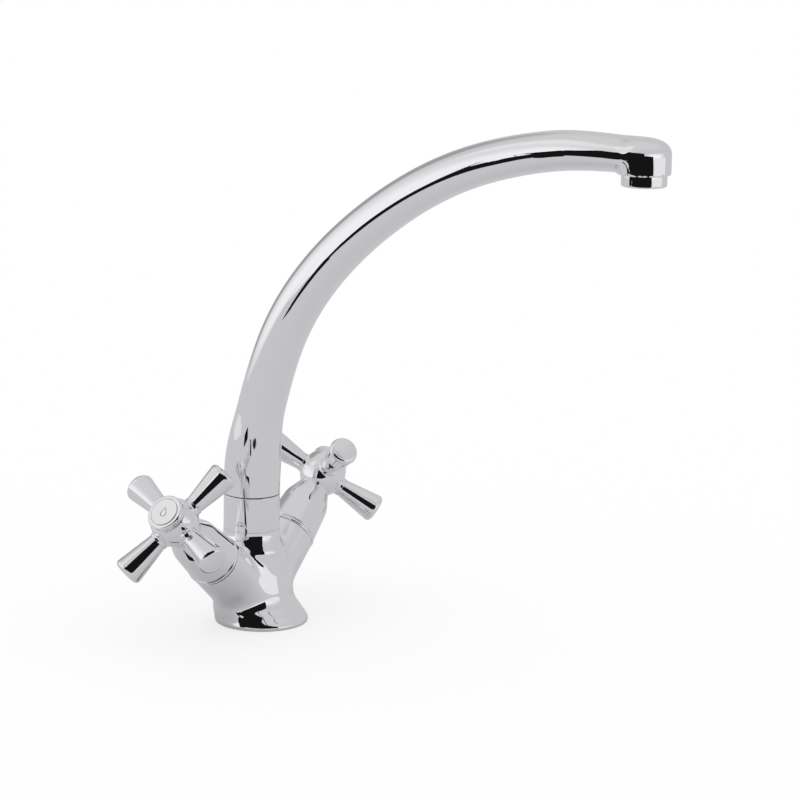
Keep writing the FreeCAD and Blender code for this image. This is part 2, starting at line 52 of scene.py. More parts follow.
DOWN = (0.0, 0.0, -1.0)
SHARP_ANGLE = math.radians(32.0)
QUARTER_TURN = math.pi / 2

# Places shared with the solids: body, collar and outlet
column_shift = 6.9
column_radius = 15.0
column_top = 50.0
collar_inner = 12.5
collar_top = 68.7
spout_bottom = 69.25
socket_radius = 10.56
socket_bottom = 36.0
base_groove_inner = 19.3
base_groove_outer = 22.4
base_groove_depth = 1.5
stud_shift = 9.5
stud_hole_radius = 3.4
stud_hole_depth = 14.0
inlet_spread = 9.0
inlet_radius = 4.5
inlet_depth = 12.0
grub_hole_radius = 2.05
boss_reach = 224.8
boss_low = 256.55
boss_bore_radius = 9.9
boss_bore_depth = 4.9

# Places shared with the solids: along the axis of each valve
valve_tilt = math.radians(38.8)
valve_origin = np.array((0.0, column_shift, 10.9))
chamber_bottom = 19.0
chamber_radius = 8.05
arm_end = 45.0
bead_top = 47.4
shroud_shoulder = 66.0
shroud_top = 76.8
hub_base = 77.4
hub_belly = 87.5
hub_top = 97.0
cap_top = 100.6
arm_count = 4
rest_turns = {"hot": 62.3, "cold": 44.1}
sides = {"hot": -1, "cold": 1}

# Camera that sees the tap as the photograph does
camera_turn = math.radians(-58.68)
camera_pitch = math.radians(11.59)
camera_roll = math.radians(1.16)
camera_focal_pixels = 2653.3
camera_distance = 1401.0
camera_aim_side = 72.07
camera_aim_height = 121.46
image_pixels = 800
sensor_width = 36.0


# Curves and meshes

class SmoothCurve:
    """Natural cubic spline through given stations."""

    def __init__(self, places, values):
        self.places = np.asarray(places, float)
        self.values = np.asarray(values, float)
        count = len(self.places)
        gaps = np.diff(self.places)
        matrix = np.eye(count)
        right = np.zeros(self.values.shape)
        for index in range(1, count - 1):
            before, after = gaps[index - 1], gaps[index]
            matrix[index, index - 1:index + 2] = before, 2 * (before + after), after
            rise = (self.values[index + 1] - self.values[index]) / after
            past = (self.values[index] - self.values[index - 1]) / before
            right[index] = 6 * (rise - past)
        self.bends = np.linalg.solve(matrix, right)

    def at(self, place, order=0):
        """Value of the curve, or its first or second derivative. Outside its ends it runs straight on."""
        place = np.asarray(place, float)
        inside = np.clip(place, self.places[0], self.places[-1])
        index = np.clip(np.searchsorted(self.places, inside) - 1, 0, len(self.places) - 2)
        gap = self.places[index + 1] - self.places[index]
        left = inside - self.places[index]
        first, last = self.values[index], self.values[index + 1]
        bend_first, bend_last = self.bends[index], self.bends[index + 1]
        slope = (last - first) / gap - gap * (2 * bend_first + bend_last) / 6
        cubic = (bend_last - bend_first) / (6 * gap)
        if order == 1:
            return slope + bend_first * left + 3 * cubic * left ** 2
        if order == 2:
            return bend_first + 6 * cubic * left
        value = first + slope * left + bend_first / 2 * left ** 2 + cubic * left ** 3
        if np.any(place != inside):
            value = value + self.at(inside, 1) * (place - inside)
        return value


def smooth_step(low, high, value):
    """Share from 0 at low to 1 at high, with an easy start and end."""
    share = np.clip((value - low) / (high - low), 0.0, 1.0)
    return share * share * (3 - 2 * share)


def join_smoothly(first, second, width):
    """Union of two distance fields with a fillet about as wide as the width."""
    overlap = np.maximum(width - np.abs(first - second), 0.0) / width
    return np.minimum(first, second) - overlap ** 3 * width / 6


def field_slope(field, points):
    """Field values at points and their gradient."""
    nudge = 0.002
    columns = []
    for axis in range(3):
        ahead = points.copy()
        behind = points.copy()
        ahead[:, axis] += nudge
        behind[:, axis] -= nudge
        columns.append((field(*ahead.T) - field(*behind.T)) / (2 * nudge))
    return field(*points.T), np.stack(columns, 1)


def pull_to_surface(field, points, rounds):
    """Move points along the field's gradient onto its zero surface."""
    least_slope = 0.05
    for turn in range(rounds):
        values, slope = field_slope(field, points)
        length = np.maximum((slope ** 2).sum(1), least_slope)
        points = points - slope * (values / length)[:, None]
    return points


def skin(field, low, high, step):
    """Quad mesh on the zero surface of a distance field, inside a box."""
    first_pulls, relax_rounds, relax_pulls = 4, 6, 2
    axes = [np.arange(low[axis], high[axis] + step, step) for axis in range(3)]
    values = field(axes[0][:, None, None], axes[1][None, :, None], axes[2][None, None, :])
    inside = values < 0
    size = inside.shape
    corners = []
    for shift in itertools.product((0, 1), repeat=3):
        window = tuple(slice(shift[axis], size[axis] - 1 + shift[axis]) for axis in range(3))
        corners.append(inside[window])
    mixed = np.logical_or.reduce(corners) & ~np.logical_and.reduce(corners)
    cells = np.argwhere(mixed)
    number = np.full(mixed.shape, -1)
    number[mixed] = np.arange(len(cells))
    quads = []
    for axis in range(3):
        order = (axis, (axis + 1) % 3, (axis + 2) % 3)
        ahead = np.moveaxis(inside, order, (0, 1, 2))
        grid = np.moveaxis(number, order, (0, 1, 2))
        crossing = np.argwhere(ahead[:-1, 1:-1, 1:-1] != ahead[1:, 1:-1, 1:-1])
        i, j, k = crossing.T
        loop = np.stack((grid[i, j, k], grid[i, j + 1, k], grid[i, j + 1, k + 1], grid[i, j, k + 1]), 1)
        flip = ~ahead[i, j + 1, k + 1]
        loop[flip] = loop[flip][:, ::-1]
        quads.append(loop)
    quads = np.concatenate(quads)
    points = np.array(low) + (cells + 0.5) * step
    points = pull_to_surface(field, points, first_pulls)
    pairs = np.concatenate([quads[:, [turn, (turn + 1) % 4]] for turn in range(4)])
    degree = np.bincount(pairs.ravel(), minlength=len(points))[:, None]
    for turn in range(relax_rounds):
        total = np.zeros(points.shape)
        np.add.at(total, pairs[:, 0], points[pairs[:, 1]])
        np.add.at(total, pairs[:, 1], points[pairs[:, 0]])
        points = pull_to_surface(field, points * 0.5 + total / degree * 0.5, relax_pulls)
    return points, quads.tolist()


def shade(mesh):
    """Smooth shading with sharp edges where faces meet at a wide angle."""
    mesh.shade_smooth()
    mesh.set_sharp_from_angle(angle=SHARP_ANGLE)


def mesh_object(name, points, faces, material):
    mesh = bpy.data.meshes.new(name)
    mesh.from_pydata([tuple(point) for point in np.asarray(points) * MM], [], faces)
    mesh.materials.append(material)
    shade(mesh)
    piece = bpy.data.objects.new(name, mesh)
    bpy.context.scene.collection.objects.link(piece)
    return piece


def turn_faces_out(mesh):
    shape = bmesh.new()
    shape.from_mesh(mesh)
    bmesh.ops.recalc_face_normals(shape, faces=shape.faces[:])
    shape.to_mesh(mesh)
    shape.free()


def cut_flat(piece, places_and_normals):
    """Cut a piece along planes, away from each normal's side, and close the cuts."""
    shape = bmesh.new()
    shape.from_mesh(piece.data)
    for place, normal in places_and_normals:
        everything = shape.verts[:] + shape.edges[:] + shape.faces[:]
        bmesh.ops.bisect_plane(
            shape, geom=everything, plane_co=Vector(place) * MM, plane_no=Vector(normal), clear_outer=True
        )
        rim = [edge for edge in shape.edges if edge.is_boundary]
        bmesh.ops.holes_fill(shape, edges=rim, sides=0)
    bmesh.ops.recalc_face_normals(shape, faces=shape.faces[:])
    shape.to_mesh(piece.data)
    shape.free()
    shade(piece.data)


def rounded(corners, arc_step=9.0):
    """Open outline (radius, height) from corners (radius, height, rounding), with arcs at the corners."""
    points = []
    for index, (radius, height, rounding) in enumerate(corners):
        here = np.array((radius, height))
        if rounding == 0 or index in (0, len(corners) - 1):
            points.append(tuple(here))
            continue
        before = np.array(corners[index - 1][:2]) - here
        after = np.array(corners[index + 1][:2]) - here
        before_way = before / np.linalg.norm(before)
        after_way = after / np.linalg.norm(after)
        opening = math.acos(np.clip(before_way @ after_way, -1, 1))
        reach = rounding / math.tan(opening / 2)
        bisector = before_way + after_way
        bisector /= np.linalg.norm(bisector)
        center = here + bisector * rounding / math.sin(opening / 2)
        start = here + before_way * reach - center
        turn = math.pi - opening
        sign = np.sign(before_way[0] * after_way[1] - before_way[1] * after_way[0])
        count = max(2, int(math.degrees(turn) / arc_step) + 1)
        for step in range(count + 1):
            angle = -sign * turn * step / count
            spun = (
                start[0] * math.cos(angle) - start[1] * math.sin(angle),
                start[0] * math.sin(angle) + start[1] * math.cos(angle),
            )
            points.append((center[0] + spun[0], center[1] + spun[1]))
    return points


def lathe(outline, steps=128, ripple=None):
    """Turn an outline about the local Z axis. A ripple gives a radius change for each point and turn."""
    points = []
    faces = []
    rings = []
    for radius, height in outline:
        if radius < 1e-6:
            rings.append([len(points)])
            points.append((0.0, 0.0, height))
            continue
        ring = []
        for step in range(steps):
            angle = 2 * math.pi * step / steps
            reach = radius + (ripple(radius, height, angle) if ripple else 0.0)
            ring.append(len(points))
            points.append((reach * math.cos(angle), reach * math.sin(angle), height))
        rings.append(ring)
    for lower, upper in zip(rings, rings[1:]):
        if len(lower) == 1 and len(upper) == 1:
            continue
        for step in range(steps):
            after = (step + 1) % steps
            if len(lower) == 1:
                faces.append((lower[0], upper[after], upper[step]))
            elif len(upper) == 1:
                faces.append((lower[step], lower[after], upper[0]))
            else:
                faces.append((lower[step], lower[after], upper[after], upper[step]))
    return np.array(points), faces


def joined(parts):
    """One list of points and faces from several."""
    points = []
    faces = []
    count = 0
    for part_points, part_faces in parts:
        points.append(part_points)
        faces += [tuple(index + count for index in face) for face in part_faces]
        count += len(part_points)
    return np.concatenate(points), faces


def drill(piece, holes):
    """Cut turned holes, each given by a start, a direction, an outer and an inner radius and a length."""
    hole_steps = 96
    parts = []
    for start, way, radius, inner, length in holes:
        outline = [(inner, 0.0), (radius, 0.0), (radius, length), (inner, length)]
        if inner > 0:
            outline.append(outline[0])
        points, faces = lathe(outline, hole_steps)
        turn = Vector(UP).rotation_difference(Vector(way)).to_matrix()
        points = points @ np.array(turn).T + np.array(start)
        parts.append((points, faces))
    points, faces = joined(parts)
    cutter = mesh_object(piece.name + "_cutter", points, faces, chrome)
    turn_faces_out(cutter.data)
    change = piece.modifiers.new("holes", "BOOLEAN")
    change.operation = "DIFFERENCE"
    change.solver = "EXACT"
    change.object = cutter
    seen = bpy.context.evaluated_depsgraph_get()
    result = bpy.data.meshes.new_from_object(piece.evaluated_get(seen))
    piece.modifiers.clear()
    old = piece.data
    piece.data = result
    bpy.data.meshes.remove(old)
    bpy.data.objects.remove(cutter)
    shade(piece.data)


def valve_frame(side):
    along = np.array((side * math.cos(valve_tilt), 0.0, math.sin(valve_tilt)))
    across = np.array((0.0, 1.0, 0.0))
    return across, np.cross(along, across), along


def on_valve(points, name, turn=0.0):
    """Place points made about the local Z axis on the valve axis of hot or cold, turned about it."""
    across, up, along = valve_frame(sides[name])
    angle = math.radians(turn)
    x, y, z = points.T
    spun_x = x * math.cos(angle) - y * math.sin(angle)
    spun_y = x * math.sin(angle) + y * math.cos(angle)
    return valve_origin + spun_x[:, None] * across + spun_y[:, None] * up + z[:, None] * along


def place_piece(piece, body, slot, *nodes):
    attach(piece, body)
    if nodes:
        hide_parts(*nodes)
    return piece


# Materials

def chrome_material():
    """Polished chrome with a faint haze that varies its gloss."""
    material = bpy.data.materials.new("polished_chrome")
    material.use_nodes = True
    nodes, links = material.node_tree.nodes, material.node_tree.links
    shader = nodes["Principled BSDF"]
    shader.inputs["Base Color"].default_value = (0.898, 0.895, 0.924, 1)
    shader.inputs["Metallic"].default_value = 1.0
    coordinates = nodes.new("ShaderNodeTexCoord")
    haze = nodes.new("ShaderNodeTexNoise")
    haze.inputs["Scale"].default_value = 60.0
    haze.inputs["Detail"].default_value = 4.0
    spread = nodes.new("ShaderNodeMapRange")
    spread.inputs["From Min"].default_value = 0.35
    spread.inputs["From Max"].default_value = 0.75
    spread.inputs["To Min"].default_value = 0.012
    spread.inputs["To Max"].default_value = 0.035
    links.new(coordinates.outputs["Object"], haze.inputs["Vector"])
    links.new(haze.outputs["Fac"], spread.inputs["Value"])
    links.new(spread.outputs["Result"], shader.inputs["Roughness"])
    return material


def mottled_material(name, light, dark, roughness, scale, metallic=0.0, bump=0.0):
    """Material whose colour, roughness and fine relief follow noise of one scale."""
    material = bpy.data.materials.new(name)
    material.use_nodes = True
    nodes, links = material.node_tree.nodes, material.node_tree.links
    shader = nodes["Principled BSDF"]
    shader.inputs["Metallic"].default_value = metallic
    coordinates = nodes.new("ShaderNodeTexCoord")
    noise = nodes.new("ShaderNodeTexNoise")
    noise.inputs["Scale"].default_value = scale
    noise.inputs["Detail"].default_value = 5.0
    links.new(coordinates.outputs["Object"], noise.inputs["Vector"])
    tint = nodes.new("ShaderNodeMix")
    tint.data_type = "RGBA"
    tint.inputs["A"].default_value = (*dark, 1)
    tint.inputs["B"].default_value = (*light, 1)
    links.new(noise.outputs["Fac"], tint.inputs["Factor"])
    links.new(tint.outputs["Result"], shader.inputs["Base Color"])
    spread = nodes.new("ShaderNodeMapRange")
    spread.inputs["From Min"].default_value = 0.3
    spread.inputs["From Max"].default_value = 0.7
    spread.inputs["To Min"].default_value = roughness[0]
    spread.inputs["To Max"].default_value = roughness[1]
    links.new(noise.outputs["Fac"], spread.inputs["Value"])
    links.new(spread.outputs["Result"], shader.inputs["Roughness"])
    if bump:
        relief = nodes.new("ShaderNodeBump")
        relief.inputs["Strength"].default_value = bump
        relief.inputs["Distance"].default_value = 0.0001
        links.new(noise.outputs["Fac"], relief.inputs["Height"])
        links.new(relief.outputs["Normal"], shader.inputs["Normal"])
    return material


chrome = chrome_material()
index_satin = mottled_material(
    "index_satin", (0.94, 0.94, 0.95), (0.90, 0.90, 0.91), (0.16, 0.22), 900.0, metallic=1.0
)
mark_ink = mottled_material("mark_ink", (0.10, 0.10, 0.11), (0.06, 0.06, 0.07), (0.35, 0.5), 700.0)
rubber = mottled_material(
    "black_rubber", (0.030, 0.030, 0.032), (0.018, 0.018, 0.019), (0.6, 0.8), 900.0, bump=0.4
)
brass = mottled_material(
    "turned_brass", (0.80, 0.60, 0.30), (0.70, 0.50, 0.23), (0.18, 0.34), 350.0, metallic=1.0, bump=0.15
)
ceramic = mottled_material("fired_ceramic", (0.86, 0.85, 0.82), (0.78, 0.77, 0.74), (0.12, 0.25), 600.0)
dark_plastic = mottled_material(
    "dark_plastic", (0.05, 0.05, 0.055), (0.03, 0.03, 0.034), (0.4, 0.55), 700.0, bump=0.25
)
white_plastic = mottled_material(
    "white_plastic", (0.80, 0.80, 0.78), (0.72, 0.72, 0.70), (0.35, 0.5), 600.0, bump=0.2
)
steel = mottled_material(
    "stainless_steel", (0.66, 0.66, 0.67), (0.55, 0.55, 0.56), (0.22, 0.38), 800.0, metallic=1.0, bump=0.2
)


# Body: foot, trunk and valve arms as one flowing casting

# Trunk stations: height, radius, shift back and stretch across
trunk_stations = (
    (0.0, 24.6, 0.0, 0.0),
    (1.2, 24.95, 0.05, 0.0),
    (2.4, 24.7, 0.25, 0.0),
    (6.0, 23.2, 2.0, 0.035),
    (8.0, 22.1, 2.65, 0.06),
    (9.5, 21.1, 3.1, 0.072),
    (11.5, 20.3, 3.6, 0.055),
    (13.5, 19.9, 4.1, 0.03),
    (18.0, 19.5, 4.7, 0.0),
    (25.0, 18.8, 5.5, 0.0),
    (32.0, 18.4, 6.1, 0.0),
    (37.0, 18.2, 6.5, 0.0),
    (39.2, 18.1, 6.6, 0.0),
    (40.2, 17.9, 6.63, 0.0),
    (41.2, 17.5, 6.67, 0.0),
    (43.0, 16.75, 6.75, 0.0),
    (45.5, 15.75, 6.85, 0.0),
    (48.0, 15.15, 6.9, 0.0),
    (52.0, 15.0, 6.9, 0.0),
)
trunk_heights, trunk_radii, trunk_shifts, trunk_stretches = zip(*trunk_stations)
trunk_radius_at = SmoothCurve(trunk_heights, trunk_radii)
trunk_shift_at = SmoothCurve(trunk_heights, trunk_shifts)
trunk_stretch_at = SmoothCurve(trunk_heights, trunk_stretches)
arm_start = 8.0
arm_start_radius = 15.4
arm_end_radius = 14.4
arm_seam = 0.3
crease_width = 4.0
belly_width = 11.0
belly_fade = (16.0, 40.0)
body_corners = ((-54, -29, -3), (54, 31, 56))
body_mesh_step = 0.9
cut_lead = 2.0
socket_lead = 6.0
chamber_reach = 40.0


def body_field(x, y, z):
    wide = x / (1 + trunk_stretch_at.at(z))
    trunk = np.hypot(wide, y - trunk_shift_at.at(z)) - trunk_radius_at.at(z)
    solid = trunk / np.sqrt(1 + trunk_radius_at.at(z, 1) ** 2)
    blend = crease_width + (belly_width - crease_width) * (1 - smooth_step(*belly_fade, z))
    for side in (-1, 1):
        along = valve_frame(side)[2]
        place = np.maximum((x * along[0]) + (z - valve_origin[2]) * along[2], arm_start)
        narrowing = (arm_end_radius - arm_start_radius) * (place - arm_start) / (arm_end - arm_start)
        gap_x = x - along[0] * place
        gap_z = z - valve_origin[2] - along[2] * place
        off_axis = np.sqrt(gap_x ** 2 + (y - valve_origin[1]) ** 2 + gap_z ** 2)
        solid = join_smoothly(solid, off_axis - (arm_start_radius + narrowing), blend)
    return solid


def make_body():
    points, faces = skin(body_field, *body_corners, body_mesh_step)
    piece = mesh_object("body_skin", points, faces, chrome)
    cuts = [((0, 0, 0), DOWN), ((0, 0, column_top), UP)]
    for side in (-1, 1):
        along = valve_frame(side)[2]
        cuts.append((tuple(valve_origin + along * (arm_end - arm_seam)), tuple(along)))
    cut_flat(piece, cuts)
    socket = (0.0, column_shift, socket_bottom)
    stud_hole = (0.0, -stud_shift, -cut_lead)
    groove = (0.0, 0.0, -cut_lead)
    holes = [
        (socket, UP, socket_radius, 0.0, column_top - socket_bottom + socket_lead),
        (stud_hole, UP, stud_hole_radius, 0.0, stud_hole_depth + cut_lead),
        (groove, UP, base_groove_outer, base_groove_inner, base_groove_depth + cut_lead),
    ]
    for side in (-1, 1):
        along = valve_frame(side)[2]
        chamber = valve_origin + along * chamber_bottom
        inlet = (side * inlet_spread, column_shift, -cut_lead)
        holes.append((chamber, along, chamber_radius, 0.0, chamber_reach))
        holes.append((inlet, UP, inlet_radius, 0.0, inlet_depth + cut_lead))
    drill(piece, holes)
    return place_piece(piece, "root", "chrome", "body")


# Spout: swan neck with a rounded outlet boss

# Centre line of the spout: reach and height
spout_stations = (
    (0.0, 60.0),
    (0.4, 84.0),
    (3.2, 105.5),
    (8.5, 126.4),
    (20.0, 157.8),
    (41.5, 190.5),
    (75.1, 222.1),
    (123.0, 250.2),
    (163.1, 262.05),
    (183.0, 265.05),
    (203.1, 265.7),
    (224.8, 265.4),
)
spout_neck_radius = 13.2
spout_taper_radius = 9.4
spout_swell = (14.0, 48.0)
spout_nose_change = -0.7
spout_nose_length = 50.0
spout_flare_length = 76.0
spout_flare_end = 4.0
boss_radius = 12.84
boss_high = 273.4
boss_tilt = 0.045
boss_top_rounding = 5.2
boss_low_rounding = 0.8
boss_crown = 0.008
boss_blend = 3.5
boss_bore_lead = 5.0
spout_corners = ((-18, -236, 62), (18, 25, 280))
spout_mesh_step = 1.1

spout_reaches, spout_heights = zip(*spout_stations)
spout_chords = np.hypot(np.diff(spout_reaches), np.diff(spout_heights))
spout_places = np.concatenate(((0.0,), np.cumsum(spout_chords)))
spout_reach_at = SmoothCurve(spout_places, spout_reaches)
spout_height_at = SmoothCurve(spout_places, spout_heights)
spout_length = spout_places[-1]
spout_start = spout_bottom - spout_heights[0]


def spout_place(reach, height):
    """Place along the spout's centre line that lies nearest to points in its plane."""
    guess_count, chunk, rounds, least_steepness = 160, 40000, 4, 0.2
    guesses = np.linspace(0.0, spout_length, guess_count)
    guess_reach, guess_height = spout_reach_at.at(guesses), spout_height_at.at(guesses)
    shape = np.broadcast(reach, height).shape
    reach = np.broadcast_to(reach, shape).ravel()
    height = np.broadcast_to(height, shape).ravel()
    place = np.empty(len(reach))
    for first in range(0, len(reach), chunk):
        part = slice(first, first + chunk)
        gap = (reach[part, None] - guess_reach) ** 2 + (height[part, None] - guess_height) ** 2
        place[part] = guesses[gap.argmin(1)]
    for turn in range(rounds):
        gap_reach = spout_reach_at.at(place) - reach
        gap_height = spout_height_at.at(place) - height
        way_reach, way_height = spout_reach_at.at(place, 1), spout_height_at.at(place, 1)
        slope = gap_reach * way_reach + gap_height * way_height
        steep = way_reach ** 2 + way_height ** 2
        steep = steep + gap_reach * spout_reach_at.at(place, 2) + gap_height * spout_height_at.at(place, 2)
        place = np.clip(place - slope / np.maximum(steep, least_steepness), 0.0, spout_length)
    return place.reshape(shape)


def spout_radius(place):
    along = place - spout_start
    length = spout_length - spout_start
    taper = spout_neck_radius + (spout_taper_radius - spout_neck_radius) * along / length
    swell = 1 - smooth_step(*spout_swell, along)
    nose = smooth_step(length - spout_nose_length, length, along)
    return taper + (column_radius - taper) * swell + spout_nose_change * nose


def boss_field(x, y, z):
    out = np.hypot(x, y - (column_shift - boss_reach))
    lift = z + boss_crown * out ** 2 + boss_tilt * (column_shift - y - boss_reach)
    middle = (boss_low + boss_high) / 2
    half = (boss_high - boss_low) / 2
    upper = lift > middle
    rounding = np.where(upper, boss_top_rounding, boss_low_rounding)
    tall = np.where(upper, lift - middle, middle - z)
    side = out - (boss_radius - rounding)
    rise = tall - (half - rounding)
    outside = np.sqrt(np.maximum(side, 0) ** 2 + np.maximum(rise, 0) ** 2)
    return outside + np.minimum(np.maximum(side, rise), 0) - rounding


def spout_field(x, y, z):
    reach = column_shift - y
    place = spout_place(reach, z)
    off_line = (reach - spout_reach_at.at(place)) ** 2 + (z - spout_height_at.at(place)) ** 2
    radius = spout_radius(place)
    flare = smooth_step(spout_length - spout_flare_length, spout_length - spout_flare_end, place)
    wide = 1 + (boss_radius / radius - 1) * flare
    tube = np.sqrt((x / wide) ** 2 + off_line) - radius
    return join_smoothly(tube, boss_field(x, y, z), boss_blend)


def make_spout():
    points, faces = skin(spout_field, *spout_corners, spout_mesh_step)
    piece = mesh_object("spout_skin", points, faces, chrome)
    cut_flat(piece, [((0, 0, spout_bottom), DOWN)])
    outlet = (0.0, column_shift - boss_reach, boss_low - boss_bore_lead)
    drill(piece, [(outlet, UP, boss_bore_radius, 0.0, boss_bore_depth + boss_bore_lead)])
    return place_piece(piece, "spout", "chrome", "spout")


# Bead rings and shrouds on the valves

bead_bore = 10.4
bead_round_center = 13.5
bead_round_steps = 16
shroud_seam = 0.08
shroud_foot = bead_top + shroud_seam
shroud_foot_radius = 14.2
shroud_shoulder_radius = 12.75
shroud_shoulder_lift = 1.5
shroud_shoulder_rounding = 14.0
shroud_dome_radius = 8.9
shroud_bore = 5.9
shroud_lip = 1.6
shroud_top_wall = 2.0
shroud_foot_inner = 12.0
shroud_shoulder_inner = 11.0
shroud_dome_inner = 7.3
shroud_arc_step = 4.0


def make_bead(name):
    middle = (arm_end + bead_top) / 2
    half = (bead_top - arm_end) / 2
    outline = [(bead_bore, arm_end)]
    for step in range(bead_round_steps + 1):
        angle = math.pi * (step / bead_round_steps - 0.5)
        outline.append((bead_round_center + half * math.cos(angle), middle + half * math.sin(angle)))
    outline += [(bead_bore, bead_top), (bead_bore, arm_end)]
    points, faces = lathe(outline)
    piece = mesh_object(name + "_bead_skin", on_valve(points, name), faces, chrome)
    return place_piece(piece, "root", "chrome", name + "_bead_ring")


def make_shroud(name):
    outside = rounded([
        (shroud_foot_inner, shroud_foot, 0),
        (shroud_foot_radius, shroud_foot, 0.5),
        (shroud_shoulder_radius, shroud_shoulder + shroud_shoulder_lift, shroud_shoulder_rounding),
        (shroud_dome_radius, shroud_top, 0.9),
        (shroud_bore, shroud_top, 0.3),
        (shroud_bore, shroud_top - shroud_lip, 0),
    ], shroud_arc_step)
    inside = [
        (shroud_bore, shroud_top - shroud_top_wall),
        (shroud_dome_inner, shroud_top - shroud_top_wall),
        (shroud_shoulder_inner, shroud_shoulder),
        (shroud_foot_inner, shroud_foot),
    ]
    points, faces = lathe(outside + inside)
    piece = mesh_object(name + "_shroud_skin", on_valve(points, name), faces, chrome)
    return place_piece(piece, "root", "chrome", name + "_shroud")


# Crosshead handles: hub, arms, knurled cap, index plate and its drop

# Hub stations: height and radius
hub_stations = (
    (hub_base, 7.3),
    (78.6, 8.5),
    (80.5, 9.95),
    (84.0, 11.75),
    (87.6, 12.4),
    (91.4, 12.15),
    (94.9, 11.15),
    (hub_top, 10.2),
)
hub_radius_at = SmoothCurve(*zip(*hub_stations))
hub_corners = ((-15, -15, 75), (15, 15, 99.5))
hub_mesh_step = 0.5
arm_boss_radius = 5.2
arm_boss_reach = 13.4
arm_boss_blend = 1.0
arm_spigot_radius = 4.7
arm_spigot_length = 1.5
arm_root_radius = 4.9
arm_tip = 33.9
arm_tip_radius = 7.75
arm_tip_rounding = 2.4
arm_tip_turn = 74.0
arm_reach = 36.65
arm_side_points = 20
arm_edge_steps = 16
arm_face_steps = 8
arm_turn_steps = 64
cap_radius = 9.9
cap_foot_radius = 9.7
cap_side_top = 2.5
cap_rim_radius = 9.3
cap_seat_radius = 7.5
cap_seat_rim_radius = 7.6
knurl_count = 56
knurl_turn_steps = 6
knurl_depth = 0.28
knurl_edge = (9.5, 9.8)
knurl_start = (0.2, 0.6)
knurl_end = (2.2, 2.7)
index_radius = 7.38
index_recess = 0.9
index_proud = 0.3
index_rounding = 0.25
mark_proud = 0.31
mark_depth = 0.15
mark_half_height = 2.7
mark_half_width = 1.9
mark_line = 0.42
mark_fullness = 1.3
mark_pointedness = 1.5
mark_line_share = 1.6
mark_line_swing = 0.6
mark_steps = 72


def hub_field(x, y, z):
    solid = (np.hypot(x, y) - hub_radius_at.at(z)) / np.sqrt(1 + hub_radius_at.at(z, 1) ** 2)
    for turn in range(arm_count):
        way_x, way_y = math.cos(turn * QUARTER_TURN), math.sin(turn * QUARTER_TURN)
        along = np.maximum(x * way_x + y * way_y, 0.0)
        off_arm = (x - along * way_x) ** 2 + (y - along * way_y) ** 2 + (z - hub_belly) ** 2
        boss = np.maximum(np.sqrt(off_arm) - arm_boss_radius, along - arm_boss_reach)
        solid = join_smoothly(solid, boss, arm_boss_blend)
    return solid


def make_hub(name):
    points, faces = skin(hub_field, *hub_corners, hub_mesh_step)
    piece = mesh_object(name + "_hub_skin", on_valve(points, name, rest_turns[name]), faces, chrome)
    along = valve_frame(sides[name])[2]
    low = tuple(valve_origin + along * hub_base)
    high = tuple(valve_origin + along * hub_top)
    cut_flat(piece, [(low, tuple(-along)), (high, tuple(along))])
    return place_piece(piece, name + "_handle", "chrome", name + "_hub")


def arm_outline():
    """Flared side, rounded edge and slightly domed end of one arm, as radius and place along it."""
    root = arm_boss_reach
    spigot_end = root - arm_spigot_length
    points = [(0.0, spigot_end), (arm_spigot_radius, spigot_end), (arm_spigot_radius, root)]
    for share in np.linspace(0.0, 1.0, arm_side_points):
        radius = arm_root_radius + (arm_tip_radius - arm_root_radius) * share
        points.append((radius, root + (arm_tip - root) * share))
    for step in range(1, arm_edge_steps + 1):
        angle = math.radians(arm_tip_turn * step / arm_edge_steps)
        radius = arm_tip_radius - arm_tip_rounding + arm_tip_rounding * math.cos(angle)
        points.append((radius, arm_tip + arm_tip_rounding * math.sin(angle)))
    edge = points[-1]
    for step in range(1, arm_face_steps + 1):
        share = step / arm_face_steps
        points.append((edge[0] * (1 - share), edge[1] + (arm_reach - edge[1]) * (1 - (1 - share) ** 2)))
    return points


def make_arms(name):
    points, faces = lathe(arm_outline(), arm_turn_steps)
    x, y, z = points.T
    parts = []
    for turn in range(arm_count):
        angle = turn * QUARTER_TURN
        side_x = z * math.cos(angle) - y * math.sin(angle)
        side_y = z * math.sin(angle) + y * math.cos(angle)
        parts.append((np.stack((side_x, side_y, hub_belly - x), 1), faces))
    points, faces = joined(parts)
    piece = mesh_object(name + "_arms_skin", on_valve(points, name, rest_turns[name]), faces, chrome)
    return place_piece(piece, name + "_handle", "chrome", name + "_handle_arms")


def knurl(radius, height, angle):
    """Change of the cap's radius at a point, only on the grip between its two rims."""
    strong = smooth_step(*knurl_edge, radius)
    strong = strong * smooth_step(hub_top + knurl_start[0], hub_top + knurl_start[1], height)
    strong = strong * (1 - smooth_step(hub_top + knurl_end[0], hub_top + knurl_end[1], height))
    return -knurl_depth * strong * (0.5 + 0.5 * math.cos(knurl_count * angle))


def make_cap(name):
    outline = rounded([
        (0.0, hub_top, 0),
        (cap_foot_radius, hub_top, 0.3),
        (cap_radius, hub_top + 0.4, 0.2),
        (cap_radius, hub_top + cap_side_top, 0.3),
        (cap_rim_radius, cap_top, 0.8),
        (cap_seat_rim_radius, cap_top, 0.15),
        (cap_seat_radius, cap_top - index_recess, 0),
        (0.0, cap_top - index_recess, 0),
    ])
    points, faces = lathe(outline, knurl_count * knurl_turn_steps, knurl)
    piece = mesh_object(name + "_cap_skin", on_valve(points, name, rest_turns[name]), faces, chrome)
    return place_piece(piece, name + "_handle", "chrome", name + "_index_cap")


